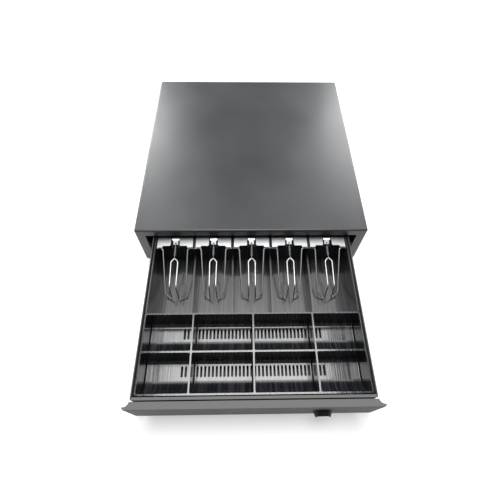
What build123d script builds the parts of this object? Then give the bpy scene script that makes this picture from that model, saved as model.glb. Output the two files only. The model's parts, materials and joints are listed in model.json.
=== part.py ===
from build123d import *
import os

# Steel point-of-sale cash drawer, modelled with its drawer pulled fully out.
# X is to the user's right, Y towards the back of the cabinet and Z up, in millimetres.
# The origin is on the counter, under the centre of the cabinet.

os.makedirs("parts", exist_ok=True)

# ---------------------------------------------------------------- driving dimensions
SIDE = 205.0            # half the cabinet's width
BACK = 210.0            # half the cabinet's depth
FRONT = -BACK           # plane of the cabinet's front frame
TOP = 100.0             # cabinet top above the counter
BODY_LOW = 5.0          # underside of the cabinet's sheet metal
SHEET = 1.0             # cover and drawer sheet
PLATE = 1.2             # base pan, rails and brackets
BEND = 3.0              # outside radius of the cover's bends
TRAVEL = 283.0          # how far the drawer slides
RUNNING_GAP = 0.05      # radial clearance of every turning or sliding fit

# Front opening of the cabinet
OPENING_HALF = 188.2
OPENING_LOW = 9.5
OPENING_TOP = 85.0
OPENING_LIP = 11.0      # depth of the flange turned in around the opening

# Drawer
BOX_HALF = 175.0
BOX_LOW = 14.0
BOX_TOP = 80.0
BOX_FRONT = FRONT - 270.0
BOX_BACK = FRONT + 97.0
BOX_REAR_TOP = 62.0
PANEL_HALF = 184.5
PANEL_LOW = 12.5
PANEL_TOP = 81.5
PANEL_FRONT = FRONT - TRAVEL
PANEL_BACK = FRONT - 272.0
PANEL_WALL = 1.5

# Roller slides
RAIL_LOW = 17.0
RAIL_TOP = 46.2
RAIL_FLANGE_IN = 177.5
RUNNER_LOW = 20.0
RUNNER_TOP = 40.0
RUNNER_OUT = 183.6
ROLLER_R = 9.0
AXLE_R = 2.5
ROLLER_IN = 177.6
ROLLER_OUT = 183.0

# Bill tray
TILL_HALF = 170.5
TILL_LOW = 15.2
TILL_TOP = 79.0
TILL_WALL = 2.0
BAY_PITCH = 68.0
BAY_RIB = 3.0
BAY_FLOOR = 17.8
BAY_RIB_TOP = 52.0
BILL_FRONT = FRONT - 141.6
BILL_BACK = FRONT + 9.0
LEDGE_FRONT = FRONT - 12.0
LEDGE_TOP = 74.5
BAY_CENTRES = [step * BAY_PITCH for step in range(-2, 3)]
RIB_PITCH = 8.5         # lengthwise floor ribs of a bay
RIB_HIGH = 0.7

# Coin tray
COIN_LOW = TILL_LOW
COIN_BACK = FRONT - 142.0
COIN_MID = FRONT - 202.9
COIN_FRONT = FRONT - 264.2
CUP_DIVIDER_X = 94.1
CUP_WALL = 2.4
CUP_FLOOR = 36.0
CUP_CORNER = 2.0
CUP_SLOPE = 2.0         # how far a cup's rear wall leans back over its height
REAR_ARC = 7.0          # radius behind each cup's flat floor
FLAT_END = 31.0         # from the cup's rear wall to where its floor starts to rise
SCOOP_RISE = 20.0
SCOOP_INSET = 2.5       # from the cup's front wall to the top of the scoop
SLOT_PITCH = 2 * CUP_DIVIDER_X / 31
SLOTS_A_SIDE = 19
SLOT_LONG = 17.0
SLOT_WIDE = 3.6
SLOT_INSET = 19.0       # from the row's rear wall to the slots' middle

# Bill clips
WIRE_R = 1.1
PIVOT_Y = FRONT - 17.6
PIVOT_Z = 70.5
POST_FRONT = FRONT - 21.5

# Lock in the front panel
LOCK_X = 100.0
LOCK_Z = 47.0
LOCK_NOSE = 8.5         # how far the bezel stands out of the panel
CAM_OFFSET = 4.24       # eccentric pin's offset along X and Z with the key upright
BOLT_FRONT = FRONT - 275.4
BOLT_BACK = BOLT_FRONT + 2.0

# Latch gear at the back of the cabinet
CLOSED_BACK = BOX_BACK + TRAVEL
GEAR_FRONT = CLOSED_BACK + 1.5
SHELF_TOP = 29.2
LATCH_PIVOT = (10.0, CLOSED_BACK + 32.0)
LATCH_Z = 38.0
LATCH_COIL_R = 1.9      # clears the striker's tongue behind it by 0.1 when the drawer is closed
LATCH_COIL_BORE = 1.1
SOLENOID_Y = CLOSED_BACK + 16.0
SOLENOID_Z = 43.0
EJECTOR_X = -75.0
EJECTOR_Z = 45.0
EJECTOR_STROKE = 14.0
SWITCH_PIVOT = (-42.0, CLOSED_BACK + 2.6)
SWITCH_Z = 36.0

# Socket on the rear panel
JACK_X = 125.0
JACK_LOW = 26.0
JACK_W = 13.0
JACK_H = 13.5

BASE_LOW = BODY_LOW + SHEET
BASE_TOP = BASE_LOW + PLATE
COVER_SCREWS = [(hand * 198.0, y) for hand in (-1, 1) for y in (-150.0, 0.0, 150.0)]
FEET = [(hand * 172.0, y) for hand in (-1, 1) for y in (-180.0, 180.0)]
SHELF_SCREWS = [(-40.0, 165.0), (80.0, 165.0)]
HANDS = (("left", -1), ("right", 1))
RIGHT = (1, 0, 0)
BACKWARD = (0, 1, 0)
FORWARD = (0, -1, 0)
UP = (0, 0, 1)


# ---------------------------------------------------------------- shared building steps
def block(x0, x1, y0, y1, z0, z1, mode=Mode.ADD):
    """A box between two corners, in the part that is being built."""
    with Locations(((x0 + x1) / 2, (y0 + y1) / 2, (z0 + z1) / 2)):
        Box(abs(x1 - x0), abs(y1 - y0), abs(z1 - z0), mode=mode)


def bar(start, direction, radius, length, mode=Mode.ADD):
    """A round bar from a start point along a direction, in the part that is being built."""
    with Locations(Plane(origin=start, z_dir=direction)):
        Cylinder(radius, length, align=(Align.CENTER, Align.CENTER, Align.MIN), mode=mode)


def save(part, name):
    """Label a finished piece and write its STEP file."""
    part.label = name
    export_step(part, f"parts/{name}.step")


# ---------------------------------------------------------------- cabinet shell
def make_cover():
    """One folded sheet: top, two sides and the front frame with its turned-in lip."""
    opening_mid = (OPENING_LOW + OPENING_TOP) / 2
    opening_high = OPENING_TOP - OPENING_LOW
    inner_side = SIDE - SHEET
    with BuildPart() as cover:
        block(-SIDE, SIDE, FRONT, BACK, BODY_LOW, TOP)
        top_bends = cover.edges().filter_by(Axis.Y).group_by(Axis.Z)[-1]
        brow_bend = cover.edges().filter_by(Axis.X).group_by(Axis.Y)[0].sort_by(Axis.Z)[-1:]
        corner_bends = cover.edges().filter_by(Axis.Z).group_by(Axis.Y)[0]
        fillet(top_bends + brow_bend + corner_bends, radius=BEND)
        underside = cover.faces().sort_by(Axis.Z)[0]
        rear = cover.faces().sort_by(Axis.Y)[-1]
        offset(amount=-SHEET, openings=[underside, rear])
        with BuildSketch(Plane.XZ.offset(BACK)):
            with Locations((0, opening_mid)):
                RectangleRounded(2 * OPENING_HALF, opening_high, 2.0)
        extrude(amount=-SHEET, mode=Mode.SUBTRACT)
        with BuildSketch(Plane.XZ.offset(BACK - SHEET)):
            with Locations((0, opening_mid)):
                RectangleRounded(2 * (OPENING_HALF + SHEET), opening_high + 2 * SHEET, 3.0)
                RectangleRounded(2 * OPENING_HALF, opening_high, 2.0, mode=Mode.SUBTRACT)
        extrude(amount=-OPENING_LIP)
        # Slot that the lock bolt drops into
        block(LOCK_X - 8, LOCK_X + 8, FRONT + 6.2, FRONT + 11, 8.0, 10.0, Mode.SUBTRACT)
        # Flanges under the base pan
        for hand in (-1, 1):
            block(hand * 192, hand * inner_side, FRONT + 3, BACK - 4, BODY_LOW, BASE_LOW)
        for x, y in COVER_SCREWS:
            bar((x, y, BODY_LOW - 1), UP, 2.05, 3, Mode.SUBTRACT)
    return cover.part


def make_base_pan():
    """Bottom sheet with the rear panel turned up from it, and the socket's cut-out."""
    half = SIDE - SHEET
    with BuildPart() as pan:
        block(-half, half, BACK - PLATE, BACK, BASE_LOW, TOP - SHEET)
        fillet(pan.edges().filter_by(Axis.Y).group_by(Axis.Z)[-1], radius=BEND - SHEET + 0.1)
        block(-half, half, FRONT + SHEET, BACK - PLATE, BASE_LOW, BASE_TOP)
        fillet(pan.edges().filter_by(Axis.Z).group_by(Axis.Y)[0], radius=BEND - SHEET + 0.1)
        for x, y in COVER_SCREWS + FEET + SHELF_SCREWS:
            bar((x, y, BASE_LOW - 1), UP, 2.05, 4, Mode.SUBTRACT)
        block(JACK_X - JACK_W / 2 - 0.3, JACK_X + JACK_W / 2 + 0.3, BACK - 3, BACK + 1,
              JACK_LOW - 0.3, JACK_LOW + JACK_H + 0.3, Mode.SUBTRACT)
    return pan.part


def make_screws(places, shank_low, shank_top, head_r, head_h):
    """A group of pan-head screws driven upwards from below."""
    with BuildPart() as screws:
        for x, y in places:
            bar((x, y, shank_low), UP, 2.0, shank_top - shank_low)
            bar((x, y, shank_low - head_h), UP, head_r, head_h)
            bar((x, y, shank_low - head_h - 0.01), UP, 1.2, 0.9, Mode.SUBTRACT)
    return screws.part


def make_feet():
    """Four turned rubber feet with a sunk hole for the screw head."""
    with BuildPart() as feet:
        for x, y in FEET:
            with Locations(Plane(origin=(x, y, 0), z_dir=UP)):
                Cone(12.0, 14.0, BASE_LOW, align=(Align.CENTER, Align.CENTER, Align.MIN))
        fillet(feet.edges().group_by(Axis.Z)[0], radius=0.8)
        for x, y in FEET:
            bar((x, y, -1), UP, 2.05, 9, Mode.SUBTRACT)
            bar((x, y, -1), UP, 5.0, 4.0, Mode.SUBTRACT)
    return feet.part


# ---------------------------------------------------------------- roller slides
CABINET_AXLE = (FRONT + 19.0, RUNNER_TOP - PLATE - ROLLER_R - RUNNING_GAP)
DRAWER_AXLE = (BOX_BACK - 12.0, RAIL_LOW + PLATE + ROLLER_R + RUNNING_GAP)


def make_cabinet_rail(hand):
    """Channel on the cabinet's side: its lower flange carries the drawer's rear roller."""
    wall = SIDE - SHEET
    rail_front = FRONT + 12.5
    rail_back = CLOSED_BACK + 18.0
    axle_y, axle_z = CABINET_AXLE
    with BuildPart() as rail:
        block(hand * (wall - PLATE), hand * wall, rail_front, rail_back, RAIL_LOW, RAIL_TOP)
        block(hand * RAIL_FLANGE_IN, hand * wall, rail_front, rail_back, RAIL_LOW, RAIL_LOW + PLATE)
        block(hand * 190, hand * wall, rail_front, rail_back, RAIL_TOP - PLATE, RAIL_TOP)
        bar((hand * (wall - 2 * PLATE), axle_y, axle_z), (hand, 0, 0), 2.0, 4 * PLATE, Mode.SUBTRACT)
    return rail.part


def make_runner(hand):
    """Angle on the drawer's side: its upper flange rides on the cabinet's front roller."""
    axle_y, axle_z = DRAWER_AXLE
    with BuildPart() as runner:
        block(hand * BOX_HALF, hand * (BOX_HALF + PLATE), BOX_FRONT + 4, BOX_BACK - 2,
              RUNNER_LOW, RUNNER_TOP)
        block(hand * BOX_HALF, hand * RUNNER_OUT, BOX_FRONT + 4, BOX_BACK - 2,
              RUNNER_TOP - PLATE, RUNNER_TOP)
        bar((hand * (BOX_HALF - 1), axle_y, axle_z), (hand, 0, 0), 2.0, 4, Mode.SUBTRACT)
    return runner.part


def make_roller(hand, axle):
    """Grooved nylon roller with its bore on the axle's line."""
    axle_y, axle_z = axle
    with BuildPart() as roller:
        bar((hand * ROLLER_IN, axle_y, axle_z), (hand, 0, 0), ROLLER_R, ROLLER_OUT - ROLLER_IN)
        chamfer(roller.edges(), length=0.5)
        bar((hand * (ROLLER_IN - 1), axle_y, axle_z), (hand, 0, 0), AXLE_R + RUNNING_GAP,
            ROLLER_OUT - ROLLER_IN + 2, Mode.SUBTRACT)
    return roller.part


def make_cabinet_axles():
    """Two shouldered pins riveted in the cabinet rails, headed on the drawer's side."""
    axle_y, axle_z = CABINET_AXLE
    wall = SIDE - SHEET
    with BuildPart() as axles:
        for hand in (-1, 1):
            out = (hand, 0, 0)
            bar((hand * (ROLLER_IN - 0.2), axle_y, axle_z), out, AXLE_R, wall - PLATE - ROLLER_IN + 0.2)
            bar((hand * (wall - PLATE), axle_y, axle_z), out, 2.0, PLATE)
            bar((hand * (ROLLER_IN - 0.9), axle_y, axle_z), out, 3.6, 0.7)
            bar((hand * (ROLLER_OUT + 0.3), axle_y, axle_z), out, 4.0, 1.5)
    return axles.part


def make_drawer_axles():
    """Two shouldered pins riveted in the drawer's side, headed on the outside."""
    axle_y, axle_z = DRAWER_AXLE
    with BuildPart() as axles:
        for hand in (-1, 1):
            out = (hand, 0, 0)
            bar((hand * (BOX_HALF - SHEET), axle_y, axle_z), out, 2.0, PLATE + SHEET)
            bar((hand * (BOX_HALF + PLATE), axle_y, axle_z), out, AXLE_R,
                ROLLER_OUT - BOX_HALF - PLATE + 0.2)
            bar((hand * (ROLLER_OUT + 0.2), axle_y, axle_z), out, 3.6, 0.7)
    return axles.part


# ---------------------------------------------------------------- drawer body
PANEL_SCREWS = [(hand * 150.0, z) for hand in (-1, 1) for z in (30.0, 64.0)]


def make_drawer_box():
    """Open steel tray with a hemmed front edge and a low rear wall."""
    with BuildPart() as box:
        block(-BOX_HALF, BOX_HALF, BOX_FRONT, BOX_BACK, BOX_LOW, BOX_TOP)
        fillet(box.edges().filter_by(Axis.Z), radius=2.0)
        rim = box.faces().sort_by(Axis.Z)[-1]
        offset(amount=-SHEET, openings=[rim])
        # Hem turned in along the front
        block(-BOX_HALF + 2, BOX_HALF - 2, BOX_FRONT + SHEET, BOX_FRONT + 4,
              BOX_TOP - SHEET, BOX_TOP)
        # Lowered rear wall
        block(-BOX_HALF + 20, BOX_HALF - 20, BOX_BACK - 5, BOX_BACK + 5, BOX_REAR_TOP, TOP,
              Mode.SUBTRACT)
        axle_y, axle_z = DRAWER_AXLE
        for hand in (-1, 1):
            bar((hand * (BOX_HALF - 4), axle_y, axle_z), (hand, 0, 0), 2.0, 8, Mode.SUBTRACT)
        for x, z in PANEL_SCREWS:
            bar((x, BOX_FRONT - 1, z), BACKWARD, 1.65, 4, Mode.SUBTRACT)
    return box.part


def make_front_panel():
    """Hollow painted panel whose top flares out in a cove at each end."""
    cove_start = (BOX_HALF + 0.2, PANEL_BACK)
    cove_mid = (178.4, PANEL_BACK - 5.2)
    cove_end = (PANEL_HALF - 0.6, PANEL_FRONT + 4.4)
    tip = (PANEL_HALF, PANEL_FRONT + 3.3)
    tip_end = (PANEL_HALF - 0.8, PANEL_FRONT + 2.2)
    corner = (PANEL_HALF - 1.9, PANEL_FRONT + 0.8)
    face_end = (PANEL_HALF - 3.8, PANEL_FRONT)
    with BuildPart() as panel:
        with BuildSketch(Plane.XY.offset(PANEL_LOW)):
            with BuildLine():
                Line((0, PANEL_BACK), cove_start)
                ThreePointArc(cove_start, cove_mid, cove_end)
                ThreePointArc(cove_end, tip, tip_end)
                ThreePointArc(tip_end, corner, face_end)
                Line(face_end, (0, PANEL_FRONT))
                mirror(about=Plane.YZ)
            make_face()
        extrude(amount=PANEL_TOP - PANEL_LOW)
        fillet(panel.edges().filter_by(Axis.X).group_by(Axis.Y)[0], radius=1.0)
        # Hollow, open towards the drawer
        block(-BOX_HALF + 1, BOX_HALF - 1, PANEL_FRONT + PANEL_WALL, PANEL_BACK + 1,
              PANEL_LOW + PANEL_WALL, PANEL_TOP - PANEL_WALL, Mode.SUBTRACT)
        # Lower flange and screw posts that meet the drawer box
        block(-160, 160, PANEL_BACK, BOX_FRONT, PANEL_LOW, PANEL_LOW + PANEL_WALL)
        for x, z in PANEL_SCREWS:
            bar((x, PANEL_FRONT + PANEL_WALL, z), BACKWARD, 5.0, BOX_FRONT - PANEL_FRONT - PANEL_WALL)
            bar((x, PANEL_FRONT + 4, z), BACKWARD, 1.6, 12, Mode.SUBTRACT)
        # Lock hole and the bolt's hole below it
        bar((LOCK_X, PANEL_FRONT - 1, LOCK_Z), BACKWARD, 9.6, 4, Mode.SUBTRACT)
        block(LOCK_X - 6.6, LOCK_X + 6.6, BOLT_FRONT - 0.6, BOLT_BACK + 0.6,
              PANEL_LOW - 1, PANEL_LOW + 3, Mode.SUBTRACT)
    return panel.part


def make_panel_screws():
    """Four screws that hold the panel, driven from inside the drawer box."""
    with BuildPart() as screws:
        for x, z in PANEL_SCREWS:
            bar((x, BOX_FRONT - 7, z), BACKWARD, 1.6, 7 + SHEET)
            bar((x, BOX_FRONT + SHEET, z), BACKWARD, 3.0, 1.8)
            bar((x, BOX_FRONT + SHEET + 1.0, z), BACKWARD, 1.0, 1.0, Mode.SUBTRACT)
    return screws.part


def make_striker():
    """Tongue on the drawer's rear wall with the window that the latch hooks into."""
    with BuildPart() as striker:
        block(-12, 12, BOX_BACK, BOX_BACK + 1.5, 31, 46)
        block(-1, 1, BOX_BACK + 1.5, BOX_BACK + 18, 31, 46)
        block(-2, 2, BOX_BACK + 5.0, BOX_BACK + 13.5, 34, 42, Mode.SUBTRACT)
        for x in (-8, 8):
            bar((x, BOX_BACK - 1, 38.5), BACKWARD, 1.6, 4, Mode.SUBTRACT)
    return striker.part


# ---------------------------------------------------------------- lock
def make_lock_bezel():
    """Conical ring around the key, standing out of the panel."""
    with BuildPart() as bezel:
        with Locations(Plane(origin=(LOCK_X, PANEL_FRONT, LOCK_Z), z_dir=FORWARD)):
            Cone(14.5, 11.2, LOCK_NOSE, align=(Align.CENTER, Align.CENTER, Align.MIN))
        fillet(bezel.edges().group_by(Axis.Y)[0], radius=0.8)
        bar((LOCK_X, PANEL_FRONT + 1, LOCK_Z), FORWARD, 9.6, LOCK_NOSE + 2, Mode.SUBTRACT)
    return bezel.part


def make_lock_housing():
    """Chromed barrel through the panel, bored for the turning cylinder."""
    with BuildPart() as housing:
        bar((LOCK_X, PANEL_FRONT + 5.5, LOCK_Z), FORWARD, 9.5, 5.5 + LOCK_NOSE)
        fillet(housing.edges().group_by(Axis.Y)[0], radius=0.5)
        bar((LOCK_X, PANEL_FRONT + 7, LOCK_Z), FORWARD, 6.0 + RUNNING_GAP, 20, Mode.SUBTRACT)
    return housing.part


def make_lock_nut():
    """Hexagon nut that clamps the housing from behind the panel."""
    low = PANEL_FRONT + PANEL_WALL
    with BuildPart() as nut:
        with BuildSketch(Plane.XZ.offset(-low)):
            with Locations((LOCK_X, LOCK_Z)):
                RegularPolygon(12.5, 6)
                Circle(9.5, mode=Mode.SUBTRACT)
        extrude(amount=-2.5)
    return nut.part


def make_lock_cylinder():
    """Key cylinder with its slot, and the eccentric pin that drives the bolt."""
    disc_front = PANEL_FRONT + 5.7
    with BuildPart() as cylinder:
        bar((LOCK_X, disc_front, LOCK_Z), FORWARD, 6.0, 5.7 + LOCK_NOSE + 0.3)
        bar((LOCK_X, disc_front, LOCK_Z), BACKWARD, 8.5, 1.6)
        bar((LOCK_X + CAM_OFFSET, disc_front + 1.6, LOCK_Z + CAM_OFFSET), BACKWARD, 1.5, 3.4)
        block(LOCK_X - 0.8, LOCK_X + 0.8, PANEL_FRONT - LOCK_NOSE - 1, PANEL_FRONT + 3,
              LOCK_Z - 3.6, LOCK_Z + 3.6, Mode.SUBTRACT)
    return cylinder.part


def make_lock_bolt():
    """Flat bolt with a cross slot for the eccentric pin; it drops into the cabinet's lip."""
    slot_z = LOCK_Z + CAM_OFFSET
    with BuildPart() as bolt:
        block(LOCK_X - 6, LOCK_X + 6, BOLT_FRONT, BOLT_BACK, 16.0, 58.0)
        block(LOCK_X - 8, LOCK_X + 11, BOLT_FRONT, BOLT_BACK, 44.0, 58.0)
        block(LOCK_X + 2.2, LOCK_X + 8.2, BOLT_FRONT - 1, BOLT_BACK + 1, slot_z - 2, slot_z + 2,
              Mode.SUBTRACT)
    return bolt.part


def make_lock_guide():
    """Channel on the drawer box that keeps the bolt upright."""
    with BuildPart() as guide:
        block(LOCK_X - 10, LOCK_X + 10, BOLT_BACK + 0.8, BOX_FRONT, 18, 33)
        for side in (-1, 1):
            block(LOCK_X + side * 6.4, LOCK_X + side * 10, BOLT_FRONT - 1.2, BOX_FRONT, 18, 33)
    return guide.part


# ---------------------------------------------------------------- tills
def make_bill_tray():
    """Moulded tray with five bays, low dividers and a raised ledge for the clips."""
    inside = TILL_HALF - TILL_WALL
    with BuildPart() as tray:
        block(-TILL_HALF, TILL_HALF, BILL_FRONT, BILL_BACK, TILL_LOW, TILL_TOP)
        # Clear space above the dividers and in front of the ledge
        block(-inside, inside, BILL_FRONT - 1, LEDGE_FRONT, BAY_RIB_TOP, TILL_TOP + 1, Mode.SUBTRACT)
        block(-inside, inside, LEDGE_FRONT - 1, BILL_BACK + 1, LEDGE_TOP, TILL_TOP + 1, Mode.SUBTRACT)
        for x in BAY_CENTRES:
            half = (BAY_PITCH - BAY_RIB) / 2
            block(x - half, x + half, BILL_FRONT + TILL_WALL, LEDGE_FRONT, BAY_FLOOR, TILL_TOP,
                  Mode.SUBTRACT)
            # Recess for the clip's spring
            block(x - 8, x + 8, LEDGE_FRONT - 1, FRONT + 3, PIVOT_Z - 5, LEDGE_TOP + 1, Mode.SUBTRACT)
            # Lengthwise ribs on the floor of the bay
            for step in range(-3, 4):
                rib_x = x + RIB_PITCH * step
                block(rib_x - 0.6, rib_x + 0.6, BILL_FRONT + TILL_WALL, LEDGE_FRONT - 20,
                      BAY_FLOOR, BAY_FLOOR + RIB_HIGH)
        # Posts between the bays that carry the clips' pivots
        for gap in range(-2, 2):
            post_x = (gap + 0.5) * BAY_PITCH
            block(post_x - BAY_RIB / 2, post_x + BAY_RIB / 2, POST_FRONT, LEDGE_FRONT,
                  BAY_RIB_TOP, LEDGE_TOP)
            bar((post_x - 5, PIVOT_Y, PIVOT_Z), RIGHT, WIRE_R + RUNNING_GAP, 10, Mode.SUBTRACT)
        for hand in (-1, 1):
            bar((hand * (inside - 1), PIVOT_Y, PIVOT_Z), (hand, 0, 0), WIRE_R + RUNNING_GAP, 2.2,
                Mode.SUBTRACT)
        # Hollow under the ledge, in one pocket for each bay
        for x in BAY_CENTRES:
            block(x - 31, x + 31, LEDGE_FRONT + 2, BILL_BACK - 2, TILL_LOW - 1, PIVOT_Z - 7, Mode.SUBTRACT)
    return tray.part


def cup_curve(back, front, floor, top):
    """Side outline of one row of cups: steep behind, a flat floor, scooped up towards the user."""
    wall_foot = (back - CUP_SLOPE, floor + REAR_ARC)
    flat_start = (back - CUP_SLOPE - REAR_ARC, floor)
    flat_end = (back - FLAT_END, floor)
    scoop_end = (front + SCOOP_INSET, floor + SCOOP_RISE)
    Line((back, top), wall_foot)
    TangentArc(wall_foot, flat_start, tangent=(0, -1))
    Line(flat_start, flat_end)
    TangentArc(flat_end, scoop_end, tangent=(-1, 0))
    Line(scoop_end, (front, top))
    Line((front, top), (back, top))


def cup_cutter(x0, x1, back, front):
    """The space inside one coin cup, with its end corners rounded."""
    with BuildPart() as cup:
        with BuildSketch(Plane.YZ.offset(x0)):
            with BuildLine():
                cup_curve(back, front, CUP_FLOOR, TILL_TOP + 1)
            make_face()
        extrude(amount=x1 - x0)
        end_faces = cup.faces().sort_by(Axis.X)
        end_edges = end_faces[0].edges() + end_faces[-1].edges()
        fillet(end_edges.filter_by(lambda edge: edge.center().Z < TILL_TOP), radius=CUP_CORNER)
    return cup.part


def make_coin_tray():
    """Lift-out moulding with two rows of scooped cups and slotted floors."""
    half_wall = CUP_WALL / 2
    rows = ((COIN_BACK - CUP_WALL, COIN_MID + half_wall), (COIN_MID - half_wall, COIN_FRONT + CUP_WALL))
    edges = (-TILL_HALF + TILL_WALL - half_wall, -CUP_DIVIDER_X, 0, CUP_DIVIDER_X,
             TILL_HALF - TILL_WALL + half_wall)
    cups = [cup_cutter(left + half_wall, right - half_wall, back, front)
            for back, front in rows for left, right in zip(edges, edges[1:])]
    with BuildPart() as tray:
        block(-TILL_HALF, TILL_HALF, COIN_FRONT, COIN_BACK, COIN_LOW, TILL_TOP)
        fillet(tray.edges().filter_by(Axis.Z), radius=3.0)
        # Hollow underside
        block(-TILL_HALF + TILL_WALL, TILL_HALF - TILL_WALL, COIN_FRONT + TILL_WALL, COIN_BACK - TILL_WALL,
              COIN_LOW - 1, TILL_TOP - TILL_WALL, Mode.SUBTRACT)
        for back, front in rows:
            with BuildSketch(Plane.YZ.offset(-TILL_HALF + TILL_WALL)):
                with BuildLine():
                    cup_curve(back + half_wall, front - half_wall, CUP_FLOOR - CUP_WALL, TILL_TOP)
                make_face()
            extrude(amount=2 * (TILL_HALF - TILL_WALL))
        add(cups, mode=Mode.SUBTRACT)
        for back, front in rows:
            with BuildSketch(Plane.XY.offset(CUP_FLOOR + 6)):
                for step in range(2 * SLOTS_A_SIDE):
                    with Locations(((step - SLOTS_A_SIDE + 0.5) * SLOT_PITCH, back - SLOT_INSET)):
                        SlotOverall(SLOT_LONG, SLOT_WIDE, rotation=90)
            extrude(amount=-14, mode=Mode.SUBTRACT)
    return tray.part


# ---------------------------------------------------------------- bill clips
PLATE_LOW = LEDGE_TOP
SPRING_ANCHOR = (PIVOT_Y + 6.4, 70.0)
CLIP_APEX = (FRONT - 36.5, 68.0)


def make_clip_plate(x):
    """Bright plate over the back of a bay, with two lobes and a bent-down spring tongue."""
    back = FRONT + 6
    slot_back = FRONT + 1
    with BuildPart() as plate:
        block(x - 31.5, x + 31.5, slot_back, back, PLATE_LOW, PLATE_LOW + PLATE)
        for side in (-1, 1):
            block(x + side * 7.8, x + side * 31.5, FRONT - 15.2, slot_back, PLATE_LOW, PLATE_LOW + PLATE)
            block(x + side * 21.8, x + side * 31.5, FRONT - 18.6, FRONT - 15.2, PLATE_LOW, PLATE_LOW + PLATE)
        lobe_corners = plate.edges().filter_by(Axis.Z).filter_by_position(Axis.Y, FRONT - 15.3, FRONT - 15.1)
        inner_corners = lobe_corners.filter_by(lambda edge: abs(edge.center().X - x) < 9)
        fillet(inner_corners, radius=3.0)
        # Tongue: tapers as it slopes down to the spring
        with BuildSketch(Plane.YZ.offset(x - 6.4)):
            with BuildLine():
                Polyline((slot_back, PLATE_LOW), (FRONT - 9.4, 69.2), (FRONT - 9.4, 70.4),
                         (slot_back, PLATE_LOW + PLATE), close=True)
            make_face()
        extrude(amount=12.8)
        for side in (-1, 1):
            block(x + side * 4.4, x + side * 7.0, FRONT - 10, FRONT - 3, 68, 74, Mode.SUBTRACT)
        bar((x, SPRING_ANCHOR[0] + 3.6, 60), UP, 1.3, 14, Mode.SUBTRACT)
    return plate.part


def make_bill_clip(x):
    """Sprung wire: two sloping outer arms, turned up at the front into a level inner loop."""
    half_path = [(33.6, PIVOT_Y, PIVOT_Z), (22, PIVOT_Y, PIVOT_Z), (18, FRONT - 86.5, 30.5),
                 (6.3, FRONT - 95.5, 20.6), (5.5, FRONT - 89.0, 60.5), (6.0, FRONT - 43, 66.5)]
    right_side = [(x + px, py, pz) for px, py, pz in half_path]
    left_side = [(x - px, py, pz) for px, py, pz in reversed(half_path)]
    apex = [(x, CLIP_APEX[0] + 1.0, CLIP_APEX[1])]
    radii = [4.0, 6.0, 2.4, 6.0, 4.0]
    with BuildPart() as clip:
        with BuildLine() as path:
            FilletPolyline(*right_side, *apex, *left_side, radius=radii + [3.0] + radii[::-1])
        with BuildSketch(Plane(origin=path.line @ 0, z_dir=path.line % 0)):
            Circle(WIRE_R)
        sweep()
    return clip.part


def make_clip_spring(x):
    """Envelope of the tension spring between a clip's inner loop and its plate."""
    (start_y, start_z), (end_y, end_z) = SPRING_ANCHOR, CLIP_APEX
    start = Vector(x, start_y - 1.2, start_z)
    run = Vector(x, end_y + 2.6, end_z) - start
    with BuildPart() as spring:
        bar(start, run, 2.0, run.length)
        bar(start - run, run, 1.2, 3 * run.length, Mode.SUBTRACT)
    return spring.part


# ---------------------------------------------------------------- latch, solenoid, ejector, switch
def make_latch_shelf():
    """Folded bracket on the base pan that carries the latch gear."""
    back = BACK - PLATE - 1.5
    with BuildPart() as shelf:
        block(-46, 86, GEAR_FRONT, back, SHELF_TOP - PLATE, SHELF_TOP)
        for x in (-46, 86 - PLATE):
            block(x, x + PLATE, GEAR_FRONT, back, BASE_TOP, SHELF_TOP - PLATE)
        for x, y in SHELF_SCREWS:
            block(x - 8, x + 8, GEAR_FRONT - 14, GEAR_FRONT + 6, BASE_TOP, BASE_TOP + PLATE)
            bar((x, y, BASE_TOP - 1), UP, 2.05, 4, Mode.SUBTRACT)
        bar((*LATCH_PIVOT, SHELF_TOP - 3), UP, 2.5, 6, Mode.SUBTRACT)
    return shelf.part


def make_latch_pivot():
    """Shouldered post riveted in the shelf, with a head above the lever."""
    with BuildPart() as post:
        bar((*LATCH_PIVOT, SHELF_TOP - PLATE), UP, 2.5, LATCH_Z + 3 - SHELF_TOP + PLATE + 0.2)
        bar((*LATCH_PIVOT, SHELF_TOP), UP, 4.0, LATCH_Z - SHELF_TOP - 0.2)
        bar((*LATCH_PIVOT, LATCH_Z + 3.2), UP, 4.0, 1.2)
    return post.part


def make_latch_lever():
    """Hooked lever: nose in the striker's window, pin for the solenoid, tail for the spring."""
    px, py = LATCH_PIVOT
    with BuildPart() as lever:
        with BuildSketch(Plane.XY.offset(LATCH_Z)):
            with BuildLine():
                Polyline((px + 5, py - 5), (px + 9, py - 16), (px + 3, py - 26), (px - 13, py - 25),
                         (px - 13, py - 22), (px - 4, py - 20), (px - 5, py - 5), (px - 4, py + 4),
                         (px + 4, py + 4), close=True)
            make_face()
        extrude(amount=3)
        bar((px, py, LATCH_Z), UP, 5.5, 3)
        bar((px, py, LATCH_Z - 1), UP, 2.5 + RUNNING_GAP, 5, Mode.SUBTRACT)
        bar((px + 6, SOLENOID_Y, LATCH_Z + 3), UP, 1.5, 6.5)
    return lever.part


def make_latch_spring():
    """Envelope of the spring that holds the latch lever closed."""
    px, py = LATCH_PIVOT
    with BuildPart() as spring:
        bar((px - 8.5, py - 12, LATCH_Z + 1.5), (-1, 0, 0), LATCH_COIL_R, 18)
        bar((px - 8, py - 12, LATCH_Z + 1.5), (-1, 0, 0), LATCH_COIL_BORE, 20, Mode.SUBTRACT)
    return spring.part


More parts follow.
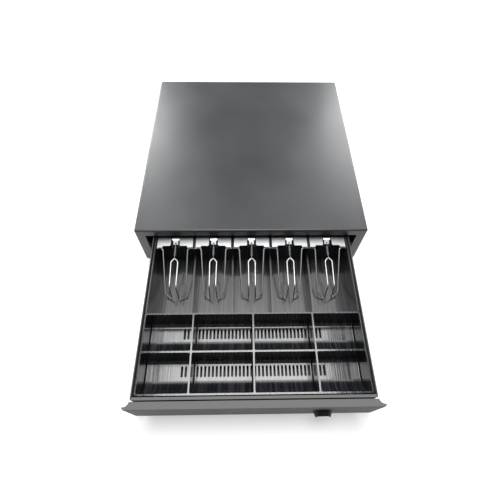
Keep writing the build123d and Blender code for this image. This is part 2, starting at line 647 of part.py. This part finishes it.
def make_solenoid():
    """Solenoid frame and coil, bored for the plunger."""
    x0 = LATCH_PIVOT[0] + 26
    with BuildPart() as solenoid:
        block(x0, x0 + 40, SOLENOID_Y - 12, SOLENOID_Y + 12, SHELF_TOP, SHELF_TOP + PLATE)
        for x in (x0, x0 + 38.5):
            block(x, x + 1.5, SOLENOID_Y - 12, SOLENOID_Y + 12, SHELF_TOP, SHELF_TOP + 27)
        bar((x0 + 1.5, SOLENOID_Y, SOLENOID_Z), RIGHT, 11, 37)
        bar((x0 - 1, SOLENOID_Y, SOLENOID_Z), RIGHT, 4.0 + RUNNING_GAP, 34, Mode.SUBTRACT)
    return solenoid.part


def make_plunger():
    """Solenoid plunger with a slotted link over the lever's pin."""
    x_pin = LATCH_PIVOT[0] + 6
    with BuildPart() as plunger:
        bar((x_pin + 8, SOLENOID_Y, SOLENOID_Z), RIGHT, 4.0, 38)
        block(x_pin - 5, x_pin + 10, SOLENOID_Y - 4, SOLENOID_Y + 6, SOLENOID_Z - 1, SOLENOID_Z + 1)
        block(x_pin - 2, x_pin + 2.2, SOLENOID_Y - 2, SOLENOID_Y + 4.2, SOLENOID_Z - 2, SOLENOID_Z + 2,
              Mode.SUBTRACT)
    return plunger.part


def make_ejector_housing():
    """Tube on a folded foot; its front end wall stops the plunger's collar."""
    tube_front = CLOSED_BACK + 2.0
    tube_back = BACK - PLATE - 2.0
    with BuildPart() as housing:
        bar((EJECTOR_X, tube_front, EJECTOR_Z), BACKWARD, 9.0, tube_back - tube_front)
        block(EJECTOR_X - 10, EJECTOR_X + 10, tube_front + 1, tube_back - 1, BASE_TOP + PLATE, EJECTOR_Z)
        block(EJECTOR_X - 10, EJECTOR_X + 10, tube_front + 1, tube_back - 1, BASE_TOP, BASE_TOP + PLATE)
        block(EJECTOR_X - 8.5, EJECTOR_X + 8.5, tube_front, tube_back, BASE_TOP + 2 * PLATE, EJECTOR_Z - 10,
              Mode.SUBTRACT)
        bar((EJECTOR_X, tube_front + 2, EJECTOR_Z), BACKWARD, 7.5 + RUNNING_GAP,
            tube_back - tube_front - 4, Mode.SUBTRACT)
        bar((EJECTOR_X, tube_front - 1, EJECTOR_Z), BACKWARD, 4.0 + RUNNING_GAP, 4, Mode.SUBTRACT)
    return housing.part


def make_ejector_plunger():
    """Push rod that drives the released drawer outwards."""
    collar_front = CLOSED_BACK + 4.3
    head_front = CLOSED_BACK - EJECTOR_STROKE + 0.3
    with BuildPart() as plunger:
        bar((EJECTOR_X, head_front, EJECTOR_Z), BACKWARD, 4.0, collar_front + 2 - head_front)
        bar((EJECTOR_X, collar_front, EJECTOR_Z), BACKWARD, 7.5, 2.5)
    return plunger.part


def make_ejector_spring():
    """Envelope of the compression spring behind the ejector's collar."""
    start = CLOSED_BACK + 7.0
    end = BACK - PLATE - 4.2
    with BuildPart() as spring:
        bar((EJECTOR_X, start, EJECTOR_Z), BACKWARD, 6.8, end - start)
        bar((EJECTOR_X, start - 1, EJECTOR_Z), BACKWARD, 5.4, end - start + 2, Mode.SUBTRACT)
    return spring.part


def make_switch_body():
    """Microswitch with two ears and the pin of its lever."""
    x, y = SWITCH_PIVOT
    with BuildPart() as body:
        block(x + 2.5, x + 22, y + 0.9, y + 8, SHELF_TOP, SHELF_TOP + 12)
        block(x - 2, x + 3, y + 2.6, y + 8, SHELF_TOP, SHELF_TOP + 12)
        for z in (SWITCH_Z - 3.4, SWITCH_Z + 2.4):
            block(x - 1.6, x + 1.6, y - 1.6, y + 2.6, z, z + 1)
        bar((x, y, SWITCH_Z - 3.4), UP, 0.6, 6.8)
    return body.part


def make_switch_lever():
    """Leaf that the drawer's rear wall presses as it closes."""
    x, y = SWITCH_PIVOT
    with BuildPart() as lever:
        bar((x, y, SWITCH_Z - 2.2), UP, 1.3, 4.4)
        with BuildSketch(Plane.XY.offset(SWITCH_Z - 2.2)):
            with BuildLine():
                Polyline((x, y - 0.3), (x + 21, y - 3.4), (x + 21, y - 2.8), (x, y + 0.3), close=True)
            make_face()
        extrude(amount=4.4)
        bar((x, y, SWITCH_Z - 3), UP, 0.6 + RUNNING_GAP, 6, Mode.SUBTRACT)
    return lever.part


# ---------------------------------------------------------------- socket and driver board
BOARD_Z = JACK_LOW - 1.6


def make_circuit_board():
    """Driver board with a few components."""
    with BuildPart() as board:
        block(105, 165, BACK - 36, BACK - 3, BOARD_Z, JACK_LOW)
        for x in (110, 160):
            bar((x, BACK - 32, BOARD_Z - 1), UP, 1.65, 4, Mode.SUBTRACT)
        block(142, 156, BACK - 24, BACK - 12, JACK_LOW, JACK_LOW + 6)
        block(115, 130, BACK - 31, BACK - 25, JACK_LOW, JACK_LOW + 2)
        bar((150, BACK - 30, JACK_LOW), UP, 3, 8)
    return board.part


def make_board_posts():
    """Two tall posts under the board's front edge."""
    with BuildPart() as posts:
        for x in (110, 160):
            bar((x, BACK - 32, BASE_TOP), UP, 3.2, BOARD_Z - BASE_TOP)
            bar((x, BACK - 32, BOARD_Z), UP, 1.6, 1.6)
            bar((x, BACK - 32, JACK_LOW), UP, 3.0, 1.5)
    return posts.part


def make_cable_socket():
    """Modular jack on the board, open through the rear panel."""
    x0, x1 = JACK_X - JACK_W / 2, JACK_X + JACK_W / 2
    with BuildPart() as socket:
        block(x0, x1, BACK - 20, BACK, JACK_LOW, JACK_LOW + JACK_H)
        block(x0 + 1.6, x1 - 1.6, BACK - 14, BACK + 1, JACK_LOW + 3, JACK_LOW + 10, Mode.SUBTRACT)
        block(JACK_X - 3, JACK_X + 3, BACK - 14, BACK + 1, JACK_LOW + 1.4, JACK_LOW + 4, Mode.SUBTRACT)
    return socket.part


# ---------------------------------------------------------------- build every piece
save(make_cover(), "cabinet_cover")
save(make_base_pan(), "base_pan")
save(make_feet(), "rubber_feet")
save(make_screws(FEET, 3.0, BASE_TOP + 3, 4.2, 2.2), "foot_screws")
save(make_screws(COVER_SCREWS, BODY_LOW, BASE_TOP + 3, 3.6, 1.6), "cover_screws")
save(make_cabinet_axles(), "cabinet_axles")
save(make_drawer_axles(), "drawer_axles")
for side_name, hand in HANDS:
    save(make_cabinet_rail(hand), f"cabinet_rail_{side_name}")
    save(make_runner(hand), f"drawer_runner_{side_name}")
    save(make_roller(hand, CABINET_AXLE), f"cabinet_roller_{side_name}")
    save(make_roller(hand, DRAWER_AXLE), f"drawer_roller_{side_name}")

save(make_drawer_box(), "drawer_box")
save(make_front_panel(), "front_panel")
save(make_panel_screws(), "panel_screws")
save(make_striker(), "striker")
save(make_lock_bezel(), "lock_bezel")
save(make_lock_housing(), "lock_housing")
save(make_lock_nut(), "lock_nut")
save(make_lock_cylinder(), "lock_cylinder")
save(make_lock_bolt(), "lock_bolt")
save(make_lock_guide(), "lock_guide")

save(make_bill_tray(), "bill_tray")
save(make_coin_tray(), "coin_tray")
for number, bay_x in enumerate(BAY_CENTRES, start=1):
    save(make_clip_plate(bay_x), f"clip_plate_{number}")
    save(make_bill_clip(bay_x), f"bill_clip_{number}")
    save(make_clip_spring(bay_x), f"clip_spring_{number}")

save(make_latch_shelf(), "latch_shelf")
save(make_screws(SHELF_SCREWS, BASE_LOW, BASE_TOP + 4, 3.6, 1.6), "shelf_screws")
save(make_latch_pivot(), "latch_pivot")
save(make_latch_lever(), "latch_lever")
save(make_latch_spring(), "latch_spring")
save(make_solenoid(), "solenoid")
save(make_plunger(), "solenoid_plunger")
save(make_ejector_housing(), "ejector_housing")
save(make_ejector_plunger(), "ejector_plunger")
save(make_ejector_spring(), "ejector_spring")
save(make_switch_body(), "switch_body")
save(make_switch_lever(), "switch_lever")
save(make_circuit_board(), "circuit_board")
save(make_board_posts(), "board_posts")
save(make_cable_socket(), "cable_socket")
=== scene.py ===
"""Looks of the cash drawer: finished pieces, materials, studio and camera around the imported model.

Lengths are in metres; MM turns millimetres into metres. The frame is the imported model's own:
+X to the user's right, +Y to the back of the cabinet, +Z up, origin on the counter.
"""
import bpy
import bmesh
import json
import math
from mathutils import Matrix, Vector


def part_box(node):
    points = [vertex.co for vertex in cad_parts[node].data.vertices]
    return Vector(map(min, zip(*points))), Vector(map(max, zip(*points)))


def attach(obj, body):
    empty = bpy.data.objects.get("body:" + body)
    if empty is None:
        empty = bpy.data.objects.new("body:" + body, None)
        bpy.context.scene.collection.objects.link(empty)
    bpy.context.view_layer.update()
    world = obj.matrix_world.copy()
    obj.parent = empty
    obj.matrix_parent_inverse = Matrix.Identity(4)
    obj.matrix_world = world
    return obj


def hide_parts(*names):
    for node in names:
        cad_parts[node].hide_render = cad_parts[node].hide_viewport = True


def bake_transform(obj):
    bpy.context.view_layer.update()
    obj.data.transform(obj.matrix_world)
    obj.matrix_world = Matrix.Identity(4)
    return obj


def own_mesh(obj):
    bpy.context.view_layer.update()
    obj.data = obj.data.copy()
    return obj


MM = 0.001
BAYS = range(1, 6)
SIDES = ("left", "right")

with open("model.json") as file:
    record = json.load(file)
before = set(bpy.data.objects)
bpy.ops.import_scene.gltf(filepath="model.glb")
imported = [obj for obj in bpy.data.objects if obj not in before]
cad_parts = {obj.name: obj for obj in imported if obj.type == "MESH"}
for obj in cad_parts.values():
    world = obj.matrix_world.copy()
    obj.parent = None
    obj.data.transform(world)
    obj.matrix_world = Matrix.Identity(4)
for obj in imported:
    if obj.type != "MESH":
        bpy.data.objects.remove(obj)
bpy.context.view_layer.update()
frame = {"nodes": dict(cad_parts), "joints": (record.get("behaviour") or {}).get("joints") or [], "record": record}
cad_nodes = frame["nodes"]
slot_of = {row["node"]: row["material_slot"] for row in frame["record"]["subparts"]}
body_of = {node: body for body, members in frame["record"]["behaviour"]["bodies"].items()
           for node in members}
joint_at = {joint["name"]: Vector(joint.get("pos_m") or (0, 0, 0)) for joint in frame["joints"]}


# ---------------------------------------------------------------- camera and studio
CAMERA_PLACE = (-0.0151, -0.5533, 0.6130)
CAMERA_DOWN = 59.312        # degrees below level
CAMERA_TURN = -2.172        # degrees about the vertical
CAMERA_ROLL = 1.553
WORLD_GLOW = 0.20
FLOOR_GLOW = 0.45           # keeps the floor white where the drawer shades it
FLOOR_HALF = 6.0
SOFTBOXES = [               # name, place, target, size, radiance
    ("overhead", (0.0, -0.20, 1.60), (0.0, -0.30, 0.0), (1.00, 0.66), 12.0),
    ("overhead_rear", (0.0, 0.34, 1.60), (0.0, -0.10, 0.0), (1.4, 0.44), 3.2),
    ("back_left", (-0.88, 1.15, 0.86), (0.0, 0.0, 0.1), (0.7, 0.7), 24.0),
    ("back_right", (0.88, 1.15, 0.86), (0.0, 0.0, 0.1), (0.7, 0.7), 19.0),
]


def add_camera():
    """Camera close above the open drawer, looking down and towards the cabinet's back."""
    data = bpy.data.cameras.new("camera")
    data.sensor_width = 36.0
    data.lens = 25.46
    data.clip_start = 0.01
    camera = bpy.data.objects.new("camera", data)
    bpy.context.scene.collection.objects.link(camera)
    tilt = Matrix.Rotation(math.radians(90 - CAMERA_DOWN), 3, "X")
    turn = Matrix.Rotation(math.radians(CAMERA_TURN), 3, "Z")
    roll = Matrix.Rotation(math.radians(CAMERA_ROLL), 3, "Z")
    place = (turn @ tilt @ roll).to_4x4()
    place.translation = Vector(CAMERA_PLACE)
    camera.matrix_world = place
    bpy.context.scene.camera = camera


def add_floor():
    """Plain white floor under the feet, with a glow of its own."""
    mesh = bpy.data.meshes.new("floor")
    build = bmesh.new()
    bmesh.ops.create_grid(build, x_segments=4, y_segments=4, size=FLOOR_HALF)
    build.to_mesh(mesh)
    build.free()
    floor = bpy.data.objects.new("floor", mesh)
    bpy.context.scene.collection.objects.link(floor)
    paint, shader = new_material("floor_white", (0.62, 0.62, 0.62), 0.95)
    shader.inputs["Specular IOR Level"].default_value = 0.0
    shader.inputs["Emission Color"].default_value = (1, 1, 1, 1)
    shader.inputs["Emission Strength"].default_value = FLOOR_GLOW
    mesh.materials.append(paint)


def add_softbox(name, place, target, size, radiance):
    """Soft rectangular light aimed at a point; radiance is how bright its face looks."""
    data = bpy.data.lights.new(name, "AREA")
    data.shape = "RECTANGLE"
    data.size, data.size_y = size
    data.energy = radiance * size[0] * size[1] * math.pi
    light = bpy.data.objects.new(name, data)
    light.location = place
    aim = Vector(target) - Vector(place)
    light.rotation_euler = aim.to_track_quat("-Z", "Y").to_euler()
    bpy.context.scene.collection.objects.link(light)


def add_studio():
    """Even pale surroundings, two softboxes overhead and one behind each side of the cabinet."""
    scene = bpy.context.scene
    scene.view_settings.view_transform = "Standard"
    world = bpy.data.worlds.new("studio")
    world.use_nodes = True
    background = world.node_tree.nodes["Background"]
    background.inputs["Color"].default_value = (1, 1, 1, 1)
    background.inputs["Strength"].default_value = WORLD_GLOW
    scene.world = world
    for softbox in SOFTBOXES:
        add_softbox(*softbox)


# ---------------------------------------------------------------- material building blocks
def new_material(name, color, roughness, metallic=0.0):
    """A Principled material with its colour, roughness and metallic set on the shader."""
    material = bpy.data.materials.new(name)
    material.use_nodes = True
    shader = material.node_tree.nodes["Principled BSDF"]
    shader.inputs["Base Color"].default_value = (*color, 1)
    shader.inputs["Roughness"].default_value = roughness
    shader.inputs["Metallic"].default_value = metallic
    return material, shader


def noise_of(material, scale, detail=3.0, stretch=(1, 1, 1)):
    """Noise over the object's own space, in cycles per metre, drawn out along an axis by stretch."""
    tree = material.node_tree
    place = tree.nodes.new("ShaderNodeTexCoord")
    mapping = tree.nodes.new("ShaderNodeMapping")
    mapping.inputs["Scale"].default_value = stretch
    noise = tree.nodes.new("ShaderNodeTexNoise")
    noise.inputs["Scale"].default_value = scale
    noise.inputs["Detail"].default_value = detail
    tree.links.new(place.outputs["Object"], mapping.inputs["Vector"])
    tree.links.new(mapping.outputs["Vector"], noise.inputs["Vector"])
    return noise.outputs["Fac"]


def ranged(material, value, low, high, start=0.3, end=0.7):
    """Map a noise value from start..end to low..high."""
    tree = material.node_tree
    node = tree.nodes.new("ShaderNodeMapRange")
    node.inputs["From Min"].default_value = start
    node.inputs["From Max"].default_value = end
    node.inputs["To Min"].default_value = low
    node.inputs["To Max"].default_value = high
    tree.links.new(value, node.inputs["Value"])
    return node.outputs["Result"]


def bump(material, shader, height, strength, distance):
    """Raise the surface by a height value, after any bump that is already there."""
    tree = material.node_tree
    node = tree.nodes.new("ShaderNodeBump")
    node.inputs["Strength"].default_value = strength
    node.inputs["Distance"].default_value = distance
    tree.links.new(height, node.inputs["Height"])
    before = shader.inputs["Normal"].links
    if before:
        tree.links.new(before[0].from_socket, node.inputs["Normal"])
    tree.links.new(node.outputs["Normal"], shader.inputs["Normal"])


def tint(material, shader, share, base, other):
    """Blend the base colour towards another by a share between 0 and 1."""
    tree = material.node_tree
    node = tree.nodes.new("ShaderNodeMix")
    node.data_type = "RGBA"
    node.inputs["A"].default_value = (*base, 1)
    node.inputs["B"].default_value = (*other, 1)
    tree.links.new(share, node.inputs["Factor"])
    tree.links.new(node.outputs["Result"], shader.inputs["Base Color"])


def vary_roughness(material, shader, value, low, high):
    """Let the roughness wander between low and high with a noise value."""
    tree = material.node_tree
    tree.links.new(ranged(material, value, low, high), shader.inputs["Roughness"])


# ---------------------------------------------------------------- materials, one function for each kind
RIB_HIGHLIGHT_COLOR = (0.042, 0.039, 0.046)        # painted highlights: pale lengthwise streaks on the moulded trays, standing for the light along the floor ribs


def powder_coat(name, color, roughness, sheen):
    """Fine-textured charcoal powder coat: pimpled, faintly cloudy skin with a sheen of its own."""
    material, shader = new_material(name, color, roughness)
    shader.inputs["Specular IOR Level"].default_value = sheen
    skin = noise_of(material, 1500, 2.0)
    cloud = noise_of(material, 9, 3.0)
    paler = [min(1, channel * 1.35) for channel in color]
    tint(material, shader, ranged(material, skin, 0.0, 1.0, 0.35, 0.75), color, paler)
    vary_roughness(material, shader, cloud, roughness - 0.04, roughness + 0.05)
    bump(material, shader, skin, 0.35, 0.15 * MM)
    return material


def moulded_abs(name, color, roughness):
    """Glossy injection-moulded plastic: pale lengthwise streaks painted in as highlights along the floor ribs, and
    fine scuffs.
    """
    material, shader = new_material(name, color, roughness)
    # painted highlight: pale lengthwise streaks tinted into the base colour
    rib_highlight = noise_of(material, 260, 3.0, (1, 0.012, 0.05))
    tint(material, shader, ranged(material, rib_highlight, 0.0, 1.0, 0.45, 0.75), color, RIB_HIGHLIGHT_COLOR)
    scuff = noise_of(material, 240, 5.0, (1, 0.06, 1))
    wave = noise_of(material, 330, 2.0, (1, 0.02, 0.2))
    vary_roughness(material, shader, scuff, roughness - 0.03, roughness + 0.05)
    bump(material, shader, wave, 0.25, 0.6 * MM)
    shader.inputs["Coat Weight"].default_value = 0.25
    shader.inputs["Coat Roughness"].default_value = 0.05
    return material


def rolled_steel(name, color, roughness, grain_axis=(1, 0.05, 1)):
    """Plated sheet steel: fine rolling lines and cloudy plating."""
    material, shader = new_material(name, color, roughness, 1.0)
    lines = noise_of(material, 1800, 3.0, grain_axis)
    cloud = noise_of(material, 60, 4.0)
    darker = [channel * 0.86 for channel in color]
    tint(material, shader, ranged(material, cloud, 0.0, 1.0), color, darker)
    vary_roughness(material, shader, lines, roughness - 0.05, roughness + 0.07)
    bump(material, shader, lines, 0.08, 0.05 * MM)
    return material


def plated_wire(name, color, roughness):
    """Bright plated wire with faint drawing marks."""
    material, shader = new_material(name, color, roughness, 1.0)
    marks = noise_of(material, 900, 2.0)
    vary_roughness(material, shader, marks, roughness, roughness + 0.10)
    bump(material, shader, marks, 0.04, 0.05 * MM)
    return material


def soft_rubber(name):
    """Matt moulded rubber with dust and a rubbed skin."""
    color = (0.022, 0.022, 0.023)
    material, shader = new_material(name, color, 0.8)
    dust = noise_of(material, 420, 6.0)
    tint(material, shader, ranged(material, dust, 0.0, 0.6, 0.5, 0.75), color, (0.075, 0.072, 0.068))
    bump(material, shader, dust, 0.3, 0.1 * MM)
    return material


def plain_moulding(name, color, roughness, sheen=0.5):
    """Moulded plastic or nylon with a fine spark-eroded texture."""
    material, shader = new_material(name, color, roughness)
    shader.inputs["Specular IOR Level"].default_value = sheen
    texture = noise_of(material, 1400, 3.0)
    patch = noise_of(material, 80, 3.0)
    darker = [channel * 0.85 for channel in color]
    tint(material, shader, ranged(material, patch, 0.0, 0.8), color, darker)
    vary_roughness(material, shader, patch, roughness - 0.05, roughness + 0.08)
    bump(material, shader, texture, 0.15, 0.05 * MM)
    return material


def wound_coil(name):
    """Amber tape over copper windings, seen as close rings along X."""
    color = (0.42, 0.17, 0.045)
    material, shader = new_material(name, color, 0.32)
    tree = material.node_tree
    place = tree.nodes.new("ShaderNodeTexCoord")
    rings = tree.nodes.new("ShaderNodeTexWave")
    rings.inputs["Scale"].default_value = 700
    rings.inputs["Distortion"].default_value = 0.4
    tree.links.new(place.outputs["Object"], rings.inputs["Vector"])
    tint(material, shader, rings.outputs["Fac"], color, (0.20, 0.07, 0.02))
    bump(material, shader, rings.outputs["Fac"], 0.4, 0.15 * MM)
    shader.inputs["Coat Weight"].default_value = 0.5
    return material


def solder_mask(name):
    """Green circuit board with paler copper tracks under the mask."""
    color = (0.012, 0.105, 0.040)
    material, shader = new_material(name, color, 0.35)
    tree = material.node_tree
    place = tree.nodes.new("ShaderNodeTexCoord")
    tracks = tree.nodes.new("ShaderNodeTexBrick")
    tracks.inputs["Scale"].default_value = 260
    tracks.inputs["Mortar Size"].default_value = 0.06
    tracks.inputs["Color1"].default_value = (*color, 1)
    tracks.inputs["Color2"].default_value = (0.014, 0.125, 0.048, 1)
    tracks.inputs["Mortar"].default_value = (0.06, 0.30, 0.12, 1)
    tree.links.new(place.outputs["Object"], tracks.inputs["Vector"])
    tree.links.new(tracks.outputs["Color"], shader.inputs["Base Color"])
    bump(material, shader, tracks.outputs["Fac"], 0.2, 0.05 * MM)
    return material


def make_materials():
    """One material for each slot in the record, and a few for details."""
    return {
        "cabinet_paint": powder_coat("cabinet_paint", (0.024, 0.025, 0.027), 0.33, 0.45),
        # painted light: drawer_paint is the cabinet's charcoal coat given a lighter base colour and less specular,
        # so the drawer reads as more brightly lit
        "drawer_paint": powder_coat("drawer_paint", (0.100, 0.101, 0.100), 0.60, 0.06),
        "till_plastic": moulded_abs("till_plastic", (0.008, 0.010, 0.011), 0.17),
        "plate_steel": rolled_steel("plate_steel", (0.60, 0.61, 0.62), 0.36, (1, 1, 1)),
        "clip_wire": plated_wire("clip_wire", (0.62, 0.62, 0.58), 0.40),
        "spring_steel": plated_wire("spring_steel", (0.56, 0.56, 0.57), 0.36),
        "zinc_steel": rolled_steel("zinc_steel", (0.62, 0.63, 0.66), 0.34),
        "screw_steel": plated_wire("screw_steel", (0.62, 0.63, 0.64), 0.26),
        "lock_black": plain_moulding("lock_black", (0.008, 0.008, 0.009), 0.45, 0.2),
        "lock_chrome": plated_wire("lock_chrome", (0.82, 0.82, 0.83), 0.08),
        "brass": plated_wire("brass", (0.76, 0.58, 0.27), 0.28),
        "rubber": soft_rubber("rubber"),
        "nylon": plain_moulding("nylon", (0.78, 0.77, 0.72), 0.45),
        "coil": wound_coil("coil"),
        "switch_plastic": plain_moulding("switch_plastic", (0.045, 0.046, 0.05), 0.4),
        "board_green": solder_mask("board_green"),
        "socket_plastic": plain_moulding("socket_plastic", (0.03, 0.03, 0.033), 0.42),
    }


materials = make_materials()


# ---------------------------------------------------------------- piece building blocks
def finish_piece(piece, *nodes, body=None):
    """Dress a new piece as the CAD nodes that it stands for, and put it on their body unless a body is given."""
    node = nodes[0]
    piece.data.materials.clear()
    piece.data.materials.append(materials[slot_of[node]])
    if body is None:
        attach(piece, body_of[node])
    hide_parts(*nodes)
    return piece


def mesh_piece(name, mesh):
    """A new object that shows a mesh."""
    piece = bpy.data.objects.new(name, mesh)
    bpy.context.scene.collection.objects.link(piece)
    return piece


def bake_modifiers(piece):
    """Keep the result of a piece's modifiers as its mesh."""
    bpy.context.view_layer.update()
    made = bpy.data.meshes.new_from_object(piece.evaluated_get(bpy.context.evaluated_depsgraph_get()))
    piece.modifiers.clear()
    piece.data = made
    return piece


def smooth_faces(mesh, sharp_angle=40):
    """Shade smooth, with edges sharper than an angle kept crisp."""
    for face in mesh.polygons:
        face.use_smooth = True
    mesh.set_sharp_from_angle(angle=math.radians(sharp_angle))


def refined(node, width, segments=2):
    """A CAD node's shape with flat faces merged and every hard edge rounded by a width in mm."""
    mesh = cad_nodes[node].data.copy()
    build = bmesh.new()
    build.from_mesh(mesh)
    bmesh.ops.remove_doubles(build, verts=build.verts, dist=0.002 * MM)
    bmesh.ops.dissolve_limit(build, angle_limit=math.radians(0.4), verts=build.verts, edges=build.edges)
    build.to_mesh(mesh)
    build.free()
    piece = mesh_piece(f"{node}_finished", mesh)
    rounding = piece.modifiers.new("rounding", "BEVEL")
    rounding.width = width * MM
    rounding.segments = segments
    rounding.limit_method = "ANGLE"
    rounding.angle_limit = math.radians(38)
    rounding.use_clamp_overlap = True
    bake_modifiers(piece)
    smooth_faces(piece.data)
    weighting = piece.modifiers.new("weighting", "WEIGHTED_NORMAL")
    weighting.keep_sharp = True
    bake_modifiers(piece)
    return finish_piece(piece, node)


def rounded_path(corners, radii, steps=8):
    """Points along straight runs between corners, with an arc of each radius at the inner corners."""
    points = [Vector(corners[0])]
    for before, corner, after, radius in zip(corners, corners[1:], corners[2:], radii):
        corner = Vector(corner)
        inward = (Vector(before) - corner).normalized()
        onward = (Vector(after) - corner).normalized()
        half = inward.angle(onward) / 2
        reach = radius / math.tan(half)
        centre = corner + (inward + onward).normalized() * (radius / math.sin(half))
        start = corner + inward * reach - centre
        end = corner + onward * reach - centre
        turn = start.angle(end)
        for step in range(steps + 1):
            share = step / steps
            arc = (start * math.sin((1 - share) * turn) + end * math.sin(share * turn)) / math.sin(turn)
            points.append(centre + arc)
    points.append(Vector(corners[-1]))
    return points


def wire_mesh(name, runs, radius, sides=4):
    """A mesh of round wire along one or more lists of points."""
    data = bpy.data.curves.new(name, "CURVE")
    data.dimensions = "3D"
    data.bevel_depth = radius
    data.bevel_resolution = sides
    data.use_fill_caps = True
    for points in runs:
        spline = data.splines.new("POLY")
        spline.points.add(len(points) - 1)
        for slot, point in zip(spline.points, points):
            slot.co = (*point, 1)
    curve = bpy.data.objects.new(name, data)
    bpy.context.scene.collection.objects.link(curve)
    bpy.context.view_layer.update()
    mesh = bpy.data.meshes.new_from_object(curve.evaluated_get(bpy.context.evaluated_depsgraph_get()))
    bpy.data.objects.remove(curve)
    for face in mesh.polygons:
        face.use_smooth = True
    return mesh


def helix(start, end, radius, turns, per_turn=14):
    """Points of a coil between two points, around the line that joins them."""
    start, end = Vector(start), Vector(end)
    along = (end - start).normalized()
    across = along.orthogonal().normalized()
    beside = along.cross(across)
    count = int(turns * per_turn)
    points = []
    for step in range(count + 1):
        angle = 2 * math.pi * turns * step / count
        middle = start.lerp(end, step / count)
        points.append(middle + radius * (math.cos(angle) * across + math.sin(angle) * beside))
    return points


# ---------------------------------------------------------------- clips and springs
WIRE_R = 1.1 * MM
CLIP_PATH = [               # half of a clip's wire, in mm from its pivot: outwards, back and up
    (33.6, 0.0, 0.0), (22.0, 0.0, 0.0), (18.0, -68.9, -40.0), (6.3, -77.9, -49.9),
    (5.5, -71.4, -10.0), (6.0, -25.4, -4.0),
]
CLIP_TOP = (0.0, -17.9, -2.5)
CLIP_RADII = [4.0, 6.0, 2.4, 6.0, 4.0]
COIL_START = (0.0, 3.6, -0.5)
COIL_END = (0.0, -14.2, -2.1)
COIL_R = 1.54
COIL_WIRE_R = 0.46 * MM
COIL_TURNS = 10


def from_pivot(pivot, offset):
    """A point given in mm from a clip's pivot."""
    return pivot + Vector(offset) * MM


def add_bill_clip(number):
    """Sprung wire of a bill clip: two sloping outer arms and a level inner loop."""
    pivot = joint_at[f"bill_clip_{number}_turn"]
    left = [(-x, y, z) for x, y, z in CLIP_PATH]
    corners = CLIP_PATH + [CLIP_TOP] + left[::-1]
    radii = CLIP_RADII + [3.0] + CLIP_RADII[::-1]
    path = rounded_path([from_pivot(pivot, corner) for corner in corners], [r * MM for r in radii])
    name = f"bill_clip_{number}"
    finish_piece(mesh_piece(f"{name}_wire", wire_mesh(f"{name}_wire", [path], WIRE_R)), name)


def add_clip_spring(number):
    """Tension spring from the plate's tongue to the clip's inner loop, hooked at both ends."""
    pivot = joint_at[f"bill_clip_{number}_turn"]
    coil = helix(from_pivot(pivot, COIL_START), from_pivot(pivot, COIL_END), COIL_R * MM,
                 COIL_TURNS)
    rear_hook = [from_pivot(pivot, offset) for offset in
                 ((0, 4.2, 0.6), (0, 6.6, 1.9), (0, 8.4, 1.7), (0, 9.0, 0.2), (0, 8.3, -1.0))]
    front_hook = [from_pivot(pivot, offset) for offset in
                  ((0, -15.0, -0.8), (0, -17.4, -0.7), (0, -19.6, -1.2), (0, -20.2, -2.8), (0, -18.6, -4.2))]
    name = f"clip_spring_{number}"
    path = rear_hook[::-1] + coil + front_hook
    piece = mesh_piece(f"{name}_coil", wire_mesh(f"{name}_coil", [path], COIL_WIRE_R, 2))
    finish_piece(piece, name, body="blended")
    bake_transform(piece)


def add_latch_spring():
    """Small tension spring of the latch lever, laid in its CAD envelope."""
    low, high = (Vector(corner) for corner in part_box("latch_spring"))
    middle = (low + high) / 2
    wire = 0.4 * MM
    radius = (high.z - low.z) / 2 - wire
    coil = helix((high.x - wire, middle.y, middle.z), (low.x + wire, middle.y, middle.z), radius, 18)
    mesh = wire_mesh("latch_spring_coil", [coil], wire, 2)
    finish_piece(mesh_piece("latch_spring_coil", mesh), "latch_spring")


def add_ejector_spring():
    """Compression spring behind the ejector's collar; the real one shortens as the drawer closes, this mesh keeps
    one length.
    """
    low, high = (Vector(corner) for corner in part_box("ejector_spring"))
    middle = (low + high) / 2
    wire = 0.6 * MM
    radius = (high.z - low.z) / 2 - wire
    coil = helix((middle.x, low.y + wire, middle.z), (middle.x, high.y - wire, middle.z), radius, 8)
    piece = mesh_piece("ejector_spring_coil", wire_mesh("ejector_spring_coil", [coil], wire, 2))
    finish_piece(piece, "ejector_spring")
    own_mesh(piece)


# ---------------------------------------------------------------- everything else
ROUNDING = {                # mm; nodes that keep their CAD mesh aren't listed
    "base_pan": 0.25, "rubber_feet": 0.3, "drawer_box": 0.22, "front_panel": 0.5,
    "bill_tray": 0.45, "coin_tray": 0.4, "lock_bezel": 0.3, "lock_housing": 0.25,
    "lock_cylinder": 0.2, "lock_nut": 0.3, "lock_bolt": 0.3, "lock_guide": 0.3, "striker": 0.25,
    "latch_shelf": 0.3, "latch_lever": 0.3, "latch_pivot": 0.3, "solenoid": 0.3,
    "solenoid_plunger": 0.3, "ejector_housing": 0.3, "ejector_plunger": 0.5, "switch_body": 0.4,
    "switch_lever": 0.1, "cable_socket": 0.3, "board_posts": 0.2, "cabinet_axles": 0.25,
    "drawer_axles": 0.25, "foot_screws": 0.3, "cover_screws": 0.3, "shelf_screws": 0.3,
    "panel_screws": 0.3, "circuit_board": 0.12,
}
SIDE_ROUNDING = {"cabinet_rail": 0.25, "drawer_runner": 0.25, "cabinet_roller": 0.2, "drawer_roller": 0.2}


def dress_cad_nodes():
    """Give every CAD node its slot's material; those that stay visible keep their own mesh."""
    for name, node in cad_nodes.items():
        node.data.materials.clear()
        node.data.materials.append(materials[slot_of[name]])


def add_refined_pieces():
    """Round the hard edges of each listed node and of the paired ones."""
    for node, width in ROUNDING.items():
        refined(node, width)
    for stem, width in SIDE_ROUNDING.items():
        for side in SIDES:
            refined(f"{stem}_{side}", width)
    for number in BAYS:
        refined(f"clip_plate_{number}", 0.2)


add_camera()
add_floor()
add_studio()
dress_cad_nodes()
add_refined_pieces()
for number in BAYS:
    add_bill_clip(number)
    add_clip_spring(number)
add_latch_spring()
add_ejector_spring()
